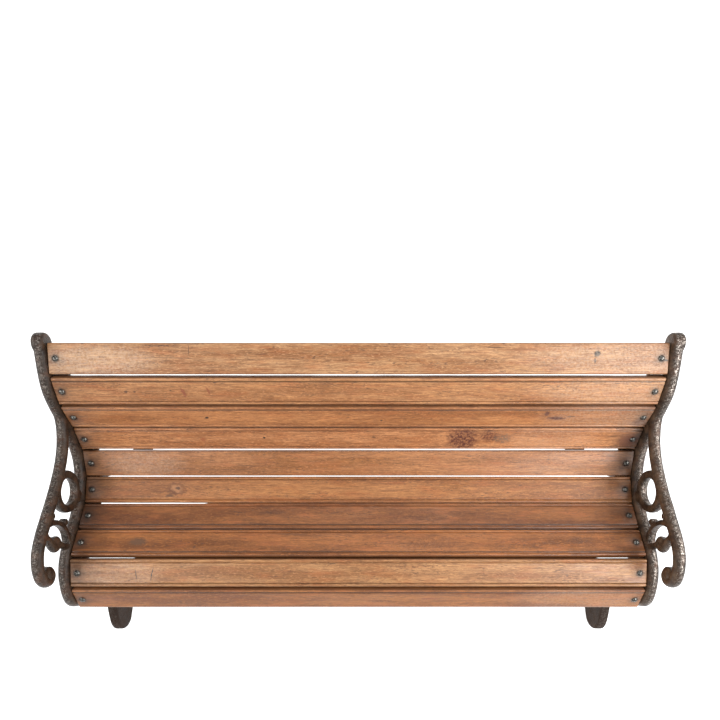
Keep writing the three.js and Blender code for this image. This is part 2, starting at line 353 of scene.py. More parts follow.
def spiral(centre, turns):
    """Points round a centre, one for each (degrees, radius)."""
    y, z = centre
    return [(y + r * math.cos(math.radians(a)), z + r * math.sin(math.radians(a))) for a, r in turns]


def slat_ledge():
    """The flange under the slats, with a flat land for each of them."""
    last = len(SLAT_TILTS) - 1
    face = -SLAT_TOP - GAP
    top = [on_slat(0, 35, face)]
    for i in range(last):
        bend = math.radians(SLAT_TILTS[i + 1] - SLAT_TILTS[i])
        top.append(on_slat(i, -half_link(i) - face * math.tan(bend / 2), face))
    top.append(on_slat(last, -35, face))
    below = [on_slat(0, 35, face - LEDGE_THICKNESS)]
    below += [on_slat(i, 0, face - LEDGE_THICKNESS) for i in range(last + 1)]
    below.append(on_slat(last, -33, face - LEDGE_THICKNESS))
    outline = [*top, *even_line(below, 10)[::-1]]
    return loft([[(x, *p) for p in outline] for x in np.linspace(LEDGE_INNER_X, LEDGE_OUTER_X, 8)])


def casting_parts():
    """Every bar, disc and foot that the end frame's pattern was built up from."""
    rail = crowned(RAIL_WIDTH, 22, -22)
    arm = crowned(RAIL_WIDTH, 10, -9)
    strap = crowned(22, 7.5, -7.5)
    front_leg = [(-283, 60), (-262, 108), (-241, 165), (-238, 230), (-255, 292), (-271, 345)]
    rear_leg = [(62, 408), (104, 330), (150, 235), (205, 140), (262, 72), (300, 45)]
    arch = [(-245, 232), (-205, 304), (-140, 358), (-55, 386), (28, 372), (88, 336), (136, 262)]
    roll = [(40, 11), (-20, 14), (-75, 19), (-130, 21), (-180, 20), (-225, 23)]
    arm_top = [(-224, 549), (-190, 564), (-150, 566), (-80, 555), (0, 542), (70, 540), (120, 550)]
    arm_back = [(165, 574), (196, 616)]
    c_scroll = [(-142, 565), (-110, 550), (-94, 507), (-104, 464), (-134, 440)]
    curl = [(40, 11), (-20, 14), (-80, 16), (-140, 16), (-180, 16)]
    curl_back = [(-153, 521), (-143, 540), (-150, 564)]
    stem = [(-148, 436), (-146, 490)]
    front_foot = [
        (-240, 172), (-268, 138), (-306, 108), (-334, 80), (-345, 47), (-333, 12), (-300, -10),
        (-264, -10), (-240, 15), (-228, 55), (-219, 105), (-220, 150),
    ]
    rear_foot = [
        (232, 120), (264, 93), (302, 79), (331, 62), (345, 35), (335, 5), (309, -10),
        (284, -10), (262, 12), (241, 44), (223, 72), (210, 102),
    ]
    return [
        band([*front_leg, *MIDDLES[::-1], TOP_KNOB], rail),
        band(rear_leg, rail),
        band([*spiral(ARM_ROLL, roll), *arm_top, *arm_back], arm, 4),
        band(arch, crowned(22, 10, -10)),
        band(c_scroll, strap, 4),
        band([*spiral(VOLUTE, curl), *curl_back], strap, 3),
        band(stem, strap),
        slab(front_foot, 6),
        slab(rear_foot, 6),
        slat_ledge(),
        disc(TOP_KNOB, 26, RAIL_WIDTH, 8),
        disc(ARM_ROLL, 23, 22, 3),
        disc(ARM_ROLL, 9, 30, 4),
        hoop(ARM_RING, 57, 35, 24),
        disc((ARM_RING[0], 434), 14, 22, 4),
        disc(VOLUTE, 18, 16, 3),
        disc((-84, 538), 9, 20, 4),
        disc((-85, 475), 9, 20, 4),
        disc((-137, 549), 8, 20, 4),
    ]


def cast(side_name, side):
    """Fuses the pattern's parts into one skin, softens its corners as sand casting does, and roughens it.
"""
    name = f"{side_name}_casting"
    pattern = show(name + "_pattern", mesh_of(name + "_pattern", casting_parts()))
    fuse = pattern.modifiers.new("fuse", "REMESH")
    fuse.mode = "VOXEL"
    fuse.voxel_size = 2.2 * MM
    soften = pattern.modifiers.new("soften", "SMOOTH")
    soften.factor = 0.5
    soften.iterations = 5
    depsgraph = bpy.context.evaluated_depsgraph_get()
    mesh = bpy.data.meshes.new_from_object(pattern.evaluated_get(depsgraph))
    bpy.data.objects.remove(pattern)
    mesh.name = name

    count = len(mesh.vertices)
    points, normals = np.empty(count * 3), np.empty(count * 3)
    mesh.vertices.foreach_get("co", points)
    mesh.vertices.foreach_get("normal", normals)
    points, normals = points.reshape(-1, 3) / MM, normals.reshape(-1, 3)
    lumps = [0.30 * wander(p, 26, side) + 0.16 * wander(p, 8, side + 5) for p in points]
    points += normals * np.array(lumps)[:, None]

    # The skin stays a hair inside the CAD frame's box, and its soles are flat on the ground.
    inside, sole = 0.1, 0.8
    low, high = (np.array(corner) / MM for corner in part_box(f"{side_name}_end_frame"))
    reach = max(abs(low[0]), abs(high[0]))
    points[:, 0] = np.clip(points[:, 0], None, reach - inside)
    points[:, 1] = np.clip(points[:, 1], low[1] + inside, high[1] - inside)
    points[points[:, 2] < sole, 2] = 0
    points[:, 2] = np.clip(points[:, 2], 0, high[2] - inside)
    points[:, 0] *= side
    mesh.vertices.foreach_set("co", (points * MM).ravel())
    if side < 0:
        mesh.flip_normals()
    mesh.update()
    mesh.shade_smooth()
    return mesh


# ---------------------------------------------------------------- bolts and nuts

# The mushroom head as (radius, height above its underside), and the M6 thread.
BOLT_HEAD = [(AXIS, 4.8), (1.9, 4.7), (3.8, 4.2), (5.4, 3.2), (6.6, 2), (7.3, 0.9), (7.5, 0.5), (7.3, 0)]
SHANK_RADIUS = 3
THREAD_ROOT = 2.45
THREAD_DEPTH = 0.5
THREAD_PITCH = 1
THREAD_START = -18
BOLT_TIP = -31
BOLT_SIDES = 32


def bolt_mesh():
    """A mushroom-headed coach bolt, its thread cut as a real helix below the nut."""
    under = SLAT_TOP + GAP
    shank = [(SHANK_RADIUS, under - 0.2), (SHANK_RADIUS, THREAD_START)]
    rings = turned([(r, under + z) for r, z in BOLT_HEAD] + shank, BOLT_SIDES)
    for z in np.arange(THREAD_START - 0.2, BOLT_TIP, -0.2):
        chamfer = max(0, BOLT_TIP + 1.4 - z) * 0.5
        ring = []
        for a in once_round(BOLT_SIDES):
            ridge = abs((z / THREAD_PITCH - a / (2 * math.pi)) % 1 - 0.5) * 2
            r = THREAD_ROOT + THREAD_DEPTH * ridge - chamfer
            ring.append((r * math.cos(a), r * math.sin(a), z))
        rings.append(ring)
    rings += turned([(AXIS, BOLT_TIP)], BOLT_SIDES)
    return mesh_of("coach_bolt", [loft(rings)])


def nut_mesh():
    """A square nut with chamfered corners, bored clear of the thread."""
    top = -SLAT_TOP - 2 * GAP - LEDGE_THICKNESS
    turns = once_round(BOLT_SIDES, math.pi / BOLT_SIDES)
    rings = []
    # Outside: how far down, half the side, and the radius that its corners are cut to. Then the bore.
    for down, half, corner in ((0, 5.5, 6.9), (0.7, 6, 8), (5.3, 6, 8), (6, 5.5, 6.9)):
        radii = [min(half / max(abs(math.cos(a)), abs(math.sin(a))), corner) for a in turns]
        rings.append([(r * math.cos(a), r * math.sin(a), top - down) for r, a in zip(radii, turns)])
    for down, r in ((6, 3.7), (5.4, 3.2), (0.6, 3.2), (0, 3.7)):
        rings.append([(r * math.cos(a), r * math.sin(a), top - down) for a in turns])
    return mesh_of("square_nut", [loft(rings, closed=True)])


# ---------------------------------------------------------------- materials

# What years outdoors put on the timber, with painted shade in the dirt colour and a painted sheen.
BLACK = "#241a16"
# Dirt, also used as painted shade at the slat ends under the frames and in the quirks.
DIRT_AND_SHADE = "#2c1f17"
BROWN = "#4f3526"
GREY = "#5d4a3c"
WARM = "#a25f34"
UMBER = "#6b3f22"
BURN = "#4e2419"
# A pale patch near a slat's end is a painted sheen: the lamps' reflection on the oil.
PAINTED_SHEEN = "#d9c4ae"
WHITE = (1, 1, 1, 1)
# Noise runs from 0 to 1, so this is its middle.
MIDDLE = (0.5, 0.5, 0.5)


def linear(code):
    """An sRGB hex colour as linear red, green, blue and alpha."""
    values = [int(code[k:k + 2], 16) / 255 for k in (1, 3, 5)]
    return [v / 12.92 if v <= 0.04045 else ((v + 0.055) / 1.055) ** 2.4 for v in values] + [1]


def add(tree, kind, inputs=None, output=0, stops=(), **settings):
    """Adds one node with its settings and fills its inputs with values or other nodes' outputs.

    Returns one of its outputs, or the node itself where it has none."""
    node = tree.nodes.new("ShaderNode" + kind)
    for name, value in settings.items():
        setattr(node, name, value)
    for key, value in (inputs or {}).items():
        if isinstance(value, bpy.types.NodeSocket):
            tree.links.new(value, node.inputs[key])
        else:
            node.inputs[key].default_value = value
    for k, (at, value) in enumerate(stops):
        stop = node.color_ramp.elements[k] if k < 2 else node.color_ramp.elements.new(at)
        stop.position = at
        stop.color = linear(value) if isinstance(value, str) else (value, value, value, 1)
    return node.outputs[output] if len(node.outputs) else node


def per_mm(*sizes):
    """Texture scales in each direction from feature sizes in millimetres."""
    return tuple(1 / (size * MM) for size in sizes)


def new_material(name):
    material = bpy.data.materials.new(name)
    material.use_nodes = True
    material.node_tree.nodes.clear()
    return material, material.node_tree


def timber_grain(tree, place, seed):
    """The timber's noises, each drawn out along the grain, by name."""
    # The grain strays sideways by up to 5 mm over a hand's length.
    shifted = add(tree, "VectorMath", {0: place, 1: (seed * 1.9, seed * 0.37, seed * 0.11)})
    stray = add(tree, "Mapping", {"Vector": shifted, "Scale": per_mm(210, 55, 55)})
    stray = add(tree, "TexNoise", {"Vector": stray, "Scale": 1.0, "Detail": 3.0}, output="Color")
    stray = add(tree, "VectorMath", {0: stray, 1: MIDDLE}, operation="SUBTRACT")
    stray = add(tree, "VectorMath", {0: stray, 1: (30 * MM, 11 * MM, 11 * MM)}, operation="MULTIPLY")
    grain_place = add(tree, "VectorMath", {0: shifted, 1: stray})

    # By the length and width of their features in millimetres. Fibres, lines, flecks and pores are really
    # a third of a millimetre wide, and are drawn six times as coarse so that they show.
    grain = {}
    for name, length, breadth, detail, roughness in (
        ("tone", 330, 30, 2, 0.5), ("mottle", 46, 9, 3, 0.6), ("flame", 620, 24, 0.6, 0.4),
        ("fibre", 24, 2.2, 4, 0.8), ("line", 110, 2.2, 3, 0.7), ("fleck", 9, 2, 1, 0.5),
        ("pore", 10, 2, 1, 0.5), ("pore_field", 120, 20, 2, 0.5), ("water", 210, 4.5, 3, 0.6),
        ("end_dirt_and_shade", 42, 13, 4, 0.65), ("oil", 110, 30, 2, 0.5), ("warm", 75, 16, 2, 0.5),
    ):
        stretched = add(tree, "Mapping", {"Vector": grain_place, "Scale": per_mm(length, breadth, breadth)})
        grain[name] = add(tree, "TexNoise", {
            "Vector": stretched, "Scale": 1.0, "Detail": float(detail), "Roughness": roughness,
        })

    # Contours of one slow noise nest like growth rings sawn through. A ring darkens slowly, then ends.
    rings = add(tree, "Math", {0: grain["flame"], 1: 21.0}, operation="MULTIPLY")
    rings = add(tree, "Math", {0: rings, 1: grain["mottle"]})
    rings = add(tree, "Math", {0: rings}, operation="FRACT")
    grain["rings"] = add(tree, "ValToRGB", {0: rings}, stops=((0.25, 0), (0.85, 1), (1, 0)))
    grain["pores"] = add(tree, "ValToRGB", {0: grain["pore"]}, stops=((0.6, 0), (0.66, 1)))
    return grain


def grime_and_shade_masks(tree, place, grain, width, end_dirt_and_shade, quirks):
    """Where a slat is darkened, by name: dirt and painted shade under each frame, dirt round each bolt,
    darker along the arrises, and painted shade with some dirt in the quirks."""
    split = add(tree, "SeparateXYZ", {0: place}).node
    along, sideways = split.outputs[0], split.outputs[1]
    masks = {}
    # Dirt and painted shade under an end frame start so far from the slat's middle, and thicken over so
    # much.
    frame_start, frame_reach = 630 * MM, 130 * MM
    # Painted shade of the arms and dirt darken the last part of each end.
    for name, share, sign in (("left_end", end_dirt_and_shade[0], -1), ("right_end", end_dirt_and_shade[1], 1)):
        start = -frame_start / frame_reach
        end = add(tree, "Math", {0: along, 1: sign / frame_reach, 2: start}, operation="MULTIPLY_ADD")
        ragged = add(tree, "Math", {0: grain["end_dirt_and_shade"], 1: 0.9, 2: -0.45}, operation="MULTIPLY_ADD")
        end = add(tree, "Math", {0: end, 1: ragged})
        masks[name] = add(tree, "ValToRGB", {0: end}, stops=((0.25, 0), (0.95, share)))

    far = add(tree, "Math", {0: along}, operation="ABSOLUTE")
    far = add(tree, "Math", {0: far, 1: BOLT_X * MM}, operation="SUBTRACT")
    reach = add(tree, "CombineXYZ", {0: far, 1: sideways})
    reach = add(tree, "VectorMath", {0: reach}, operation="LENGTH", output="Value")
    reach = add(tree, "Math", {0: reach, 1: 1 / (30 * MM)}, operation="MULTIPLY")
    masks["bolt"] = add(tree, "ValToRGB", {0: reach}, stops=((0.24, 0.85), (0.42, 0.3), (0.9, 0)))

    side = add(tree, "Math", {0: sideways}, operation="ABSOLUTE")
    edge = add(tree, "Math", {0: side, 1: 1 / (width / 2 * MM)}, operation="MULTIPLY")
    masks["arris"] = add(tree, "ValToRGB", {0: edge}, stops=((0.955, 0), (0.995, 0.5)))

    # The quirks are darkened with painted shade and some dirt.
    quirk_middle = (width / 2 - 2 * BEAD - QUIRK_WIDTH / 2) * MM
    for name, sign, share in (("back_quirk", 1, quirks[0]), ("front_quirk", -1, quirks[1])):
        quirk = add(tree, "Math", {0: sideways, 1: sign * quirk_middle}, operation="SUBTRACT")
        quirk = add(tree, "Math", {0: quirk}, operation="ABSOLUTE")
        quirk = add(tree, "Math", {0: quirk, 1: 1 / (2 * QUIRK_WIDTH * MM)}, operation="MULTIPLY")
        masks[name] = add(tree, "ValToRGB", {0: quirk}, stops=((0.2, share), (0.55, 0)))
    return masks


def marked(tree, place, colour, marks):
    """Puts knots, burns, scratches, stains and painted sheen on a colour, each an ellipse with a ragged
    edge.

    A mark longer than 60 mm is patchy too."""
    # The teeth of a ragged edge are about 7 mm apart.
    teeth = 20 / 3
    ragged = {"Vector": place, "Scale": 1 / (teeth * MM), "Detail": 4.0}
    ragged = add(tree, "TexNoise", ragged, output="Color")
    ragged = add(tree, "VectorMath", {0: ragged, 1: MIDDLE}, operation="SUBTRACT")
    patchy = {"Vector": place, "Scale": 1 / (6 * MM), "Detail": 4.0, "Roughness": 0.7}
    patchy = add(tree, "TexNoise", patchy)
    patchy = add(tree, "ValToRGB", {0: patchy}, stops=((0.42, 0.3), (0.56, 1)))
    for x, y, length, breadth, slope, tint, share in marks:
        frayed = (min(length, 80) * MM * 0.5, min(breadth, 60) * MM * 0.6, 0)
        frayed = add(tree, "VectorMath", {0: ragged, 1: frayed}, operation="MULTIPLY")
        frayed = add(tree, "VectorMath", {0: place, 1: frayed})
        spot = add(tree, "Mapping", {
            "Vector": frayed, "Location": (x * MM, y * MM, 0), "Rotation": (0, 0, math.radians(slope)),
            "Scale": (length * MM / 2, breadth * MM / 2, 1),
        }, vector_type="TEXTURE")
        spot = add(tree, "VectorMath", {0: spot, 1: (1, 1, 0)}, operation="MULTIPLY")
        spot = add(tree, "VectorMath", {0: spot}, operation="LENGTH", output="Value")
        cover = add(tree, "ValToRGB", {0: spot}, stops=((0.55, share), (1, 0)))
        if length > 60:
            cover = add(tree, "Math", {0: cover, 1: patchy}, operation="MULTIPLY")
        colour = add(tree, "Mix", {0: cover, 6: colour, 7: linear(tint)}, output=2, data_type="RGBA")
    return colour


def oiled_timber(number, light, dark, seed, width, end_dirt_and_shade, quirks, marks):
    """Old oiled pine, planed, moulded and weathered.

    Its growth rings break out in long flames, short fibres and flecks run along it, pores and knots are
    near black, dirt and painted shade darken the moulding and the ends under the frames, dirt sits round
    the bolts, a painted sheen lightens some ends, and the oil leaves a patchy satin sheen."""
    material, tree = new_material(f"oiled_pine_{number:02d}")
    place = add(tree, "TexCoord", output="Object")
    grain = timber_grain(tree, place, seed)

    masks = grime_and_shade_masks(tree, place, grain, width, end_dirt_and_shade, quirks)
    fields = add(tree, "ValToRGB", {0: grain["pore_field"]}, stops=((0.42, 0.1), (0.64, 0.8)))
    masks["pores"] = add(tree, "Math", {0: grain["pores"], 1: fields}, operation="MULTIPLY")
    masks["water"] = add(tree, "ValToRGB", {0: grain["water"]}, stops=((0.58, 0), (0.75, 0.55)))
    masks["flecks"] = add(tree, "ValToRGB", {0: grain["fleck"]}, stops=((0.58, 0), (0.7, 0.6)))
    masks["lines"] = add(tree, "ValToRGB", {0: grain["line"]}, stops=((0.55, 0), (0.64, 0.75)))
    masks["warm"] = add(tree, "ValToRGB", {0: grain["warm"]}, stops=((0.5, 0), (0.72, 0.5)))
    masks["late_wood"] = add(tree, "Math", {0: grain["rings"], 1: 0.42}, operation="MULTIPLY")

    # Colour in layers: the sawn wood, its rings and flecks, then what years outdoors have put on it,
    # painted shade and painted sheen.
    tone = add(tree, "Math", {0: grain["mottle"], 1: 0.45, 2: -0.225}, operation="MULTIPLY_ADD")
    tone = add(tree, "Math", {0: grain["tone"], 1: tone})
    colour = add(tree, "ValToRGB", {0: tone}, stops=((0.36, dark), (0.62, light)))
    fibre = add(tree, "ValToRGB", {0: grain["fibre"]}, stops=((0.36, 0.42), (0.6, 1)))
    colour = {0: 0.8, 6: colour, 7: fibre}
    colour = add(tree, "Mix", colour, output=2, data_type="RGBA", blend_type="MULTIPLY")
    for name, tint in (
        ("warm", WARM), ("late_wood", UMBER), ("lines", UMBER), ("flecks", light), ("pores", BROWN),
        ("water", BROWN), ("left_end", DIRT_AND_SHADE), ("right_end", DIRT_AND_SHADE), ("bolt", DIRT_AND_SHADE), ("arris", BROWN),
        ("back_quirk", DIRT_AND_SHADE), ("front_quirk", DIRT_AND_SHADE),
    ):
        colour = add(tree, "Mix", {0: masks[name], 6: colour, 7: linear(tint)}, output=2, data_type="RGBA")
    colour = marked(tree, place, colour, marks)

    # Fibres stand up, soft early wood has weathered below the late wood, and pores are sunk.
    height = add(tree, "Math", {0: grain["rings"], 1: 0.3, 2: grain["fibre"]}, operation="MULTIPLY_ADD")
    height = add(tree, "Math", {0: grain["pores"], 1: -0.6, 2: height}, operation="MULTIPLY_ADD")
    bump = add(tree, "Bump", {"Height": height, "Strength": 0.45, "Distance": 0.5 * MM})
    rough = add(tree, "Math", {0: grain["oil"], 1: 0.4, 2: 0.24}, operation="MULTIPLY_ADD")
    shader = add(tree, "BsdfPrincipled", {
        "Base Color": colour, "Roughness": rough, "IOR": 1.47, "Normal": bump,
    })
    add(tree, "OutputMaterial", {0: shader})
    return material


def cast_iron(side_name, wear_and_highlight, dust, seed):
    """Sand-cast grey iron under old bitumen paint, pitted like coarse sandpaper.

    It is brown-black, rust-brown where the paint is thin, rubbed to greyish metal on the crowns that hands
    and legs touch with a painted highlight over them, dusty on its inner side, and darker and dull near the
    ground."""
    material, tree = new_material(f"painted_cast_iron_{side_name}")
    place = add(tree, "TexCoord", output="Object")
    above_ground = add(tree, "SeparateXYZ", {0: place}, output=2)
    shifted = add(tree, "VectorMath", {0: place, 1: (seed, seed, seed)})
    normal = add(tree, "SeparateXYZ", {0: add(tree, "NewGeometry", output="Normal")}).node
    sideways, up = normal.outputs[0], normal.outputs[2]

    # Noise by the size of its lumps in millimetres. Casting sand is half a millimetre across, and is drawn
    # nine times as coarse so that it shows.
    grit = {}
    for layer, size, detail, roughness in (
        ("cloud", 60, 4, 0.6), ("scale", 9, 5, 0.85), ("rust", 26, 6, 0.8), ("rub", 6, 5, 0.95),
        ("sand", 4.5, 3, 0.75), ("dust", 24, 4, 0.7),
    ):
        grit[layer] = add(tree, "TexNoise", {
            "Vector": shifted, "Scale": 1 / (size * MM), "Detail": float(detail), "Roughness": roughness,
        })

    # The crown of a band is where its normal has little X in it. Crowns that face up are rubbed most, and
    # their light grey is partly a painted highlight.
    crown = add(tree, "Math", {0: sideways}, operation="ABSOLUTE")
    crown = add(tree, "ValToRGB", {0: crown}, stops=((0.2, 1), (0.7, 0)))
    upward = add(tree, "ValToRGB", {0: up}, stops=((0, 0.1), (0.7, 1)))
    worn_and_highlight = add(tree, "Math", {0: crown, 1: upward}, operation="MULTIPLY")
    worn_and_highlight = add(tree, "Math", {0: worn_and_highlight, 1: 0.18 * wear_and_highlight}, operation="MULTIPLY")
    rubbed_and_highlight = add(tree, "ValToRGB", {0: grit["rub"]}, stops=((0.5, 0), (0.62, 0.8 * wear_and_highlight)))
    rubbed_and_highlight = add(tree, "Math", {0: rubbed_and_highlight, 1: crown}, operation="MULTIPLY")
    rubbed_and_highlight = add(tree, "Math", {0: rubbed_and_highlight, 1: upward}, operation="MULTIPLY")
    rust = add(tree, "ValToRGB", {0: grit["rust"]}, stops=((0.48, 0), (0.66, 0.6)))
    inner = add(tree, "Math", {0: sideways, 1: -math.copysign(1, seed)}, operation="MULTIPLY")
    inner = add(tree, "ValToRGB", {0: inner}, stops=((0.15, 0), (0.8, dust)))
    dusty = add(tree, "ValToRGB", {0: grit["dust"]}, stops=((0.4, 0.25), (0.62, 1)))
    dusty = add(tree, "Math", {0: inner, 1: dusty}, operation="MULTIPLY")

    paint = ((0.3, "#130d0a"), (0.52, "#221813"), (0.75, "#38291f"))
    colour = add(tree, "ValToRGB", {0: grit["cloud"]}, stops=paint)
    scale = add(tree, "ValToRGB", {0: grit["scale"]}, stops=((0.42, 0.25), (0.58, 1)))
    colour = {0: 0.85, 6: colour, 7: scale}
    colour = add(tree, "Mix", colour, output=2, data_type="RGBA", blend_type="MULTIPLY")
    # The worn and rubbed tints are wear and also a painted highlight: pale grey on up-facing crowns for the
    # lamps' reflection.
    for mask, tint in ((worn_and_highlight, "#75675d"), (rust, "#4c2d1b"), (dusty, "#80664f"), (rubbed_and_highlight, "#c6bcb2")):
        colour = add(tree, "Mix", {0: mask, 6: colour, 7: linear(tint)}, output=2, data_type="RGBA")

    pits = add(tree, "TexVoronoi", {"Vector": shifted, "Scale": 1 / (5 * MM)})
    pits = add(tree, "ValToRGB", {0: pits}, stops=((0.1, 0), (0.45, 1)))
    height = add(tree, "Math", {0: pits, 1: 0.4, 2: grit["sand"]}, operation="MULTIPLY_ADD")
    height = add(tree, "Math", {0: grit["scale"], 1: 0.8, 2: height}, operation="MULTIPLY_ADD")
    bump = add(tree, "Bump", {"Height": height, "Strength": 0.7, "Distance": 0.9 * MM})
    rough = add(tree, "Math", {0: grit["scale"], 1: 0.38, 2: 0.12}, operation="MULTIPLY_ADD")
    rough = add(tree, "Math", {0: rust, 1: 0.25, 2: rough}, operation="MULTIPLY_ADD")
    metal = add(tree, "Math", {0: worn_and_highlight, 1: 2.0, 2: rubbed_and_highlight}, operation="MULTIPLY_ADD", use_clamp=True)

    # Up to about 0.2 m above the ground the iron is darker and has no shine.
    darker_near_ground = add(tree, "Math", {0: above_ground, 1: -1 / (100 * MM), 2: 2.0}, operation="MULTIPLY_ADD")
    darker_near_ground = add(tree, "Math", {0: grit["rust"], 1: 0.8, 2: darker_near_ground}, operation="MULTIPLY_ADD")
    darker_near_ground = add(tree, "ValToRGB", {0: darker_near_ground}, stops=((0.3, 0), (1, 0.8)))
    colour = add(tree, "Mix", {0: darker_near_ground, 6: colour, 7: linear("#26180f")}, output=2, data_type="RGBA")
    rough = add(tree, "Math", {0: darker_near_ground, 1: 0.5, 2: rough}, operation="MULTIPLY_ADD")
    clear_of_ground = add(tree, "Math", {0: 1.0, 1: darker_near_ground}, operation="SUBTRACT")
    metal = add(tree, "Math", {0: metal, 1: clear_of_ground}, operation="MULTIPLY")

    shader = add(tree, "BsdfPrincipled", {
        "Base Color": colour, "Roughness": rough, "Metallic": metal,
        "Specular IOR Level": 0.2, "Normal": bump,
    })
    add(tree, "OutputMaterial", {0: shader})
    return material


def dulled_steel():
    """Zinc-plated steel gone dull outdoors: a dark grey film with 3 mm freckles, bright where rubbed."""
    material, tree = new_material("dulled_zinc_plated_steel")
    place = add(tree, "TexCoord", output="Object")
    mottle = {"Vector": place, "Scale": 1 / (3 * MM), "Detail": 4.0, "Roughness": 0.7}
    mottle = add(tree, "TexNoise", mottle)
    film = ((0.35, "#2b2a28"), (0.52, "#5c5a56"), (0.72, "#a09d97"))
    colour = add(tree, "ValToRGB", {0: mottle}, stops=film)
    rough = add(tree, "Math", {0: mottle, 1: 0.4, 2: 0.16}, operation="MULTIPLY_ADD")
    bump = add(tree, "Bump", {"Height": mottle, "Strength": 0.4, "Distance": 0.3 * MM})
    shader = add(tree, "BsdfPrincipled", {
        "Base Color": colour, "Metallic": 1.0, "Roughness": rough, "Normal": bump,
    })
    add(tree, "OutputMaterial", {0: shader})
    return material


def lit_acrylic():
    """A matt white acrylic sheet lit from below: evenly bright, with only faint shadows."""
    material, tree = new_material("backlit_white_acrylic")
    sheet = add(tree, "BsdfPrincipled", {
        "Base Color": linear("#c4c4c4"), "Roughness": 0.9,
        "Emission Color": WHITE, "Emission Strength": 1.0,
    })
    add(tree, "OutputMaterial", {0: sheet})
    return material


# ---------------------------------------------------------------- assembly

def straight(x):
    """An edge that runs straight."""
    return 0


def swollen(amount, start=-760, end=760):
    """How much an edge stands out between two places along the slat. Below 0 it stands back."""
    ease = 12
    return lambda x: amount * min(1, max(0, (x - start) / ease)) * min(1, max(0, (end - x) / ease))


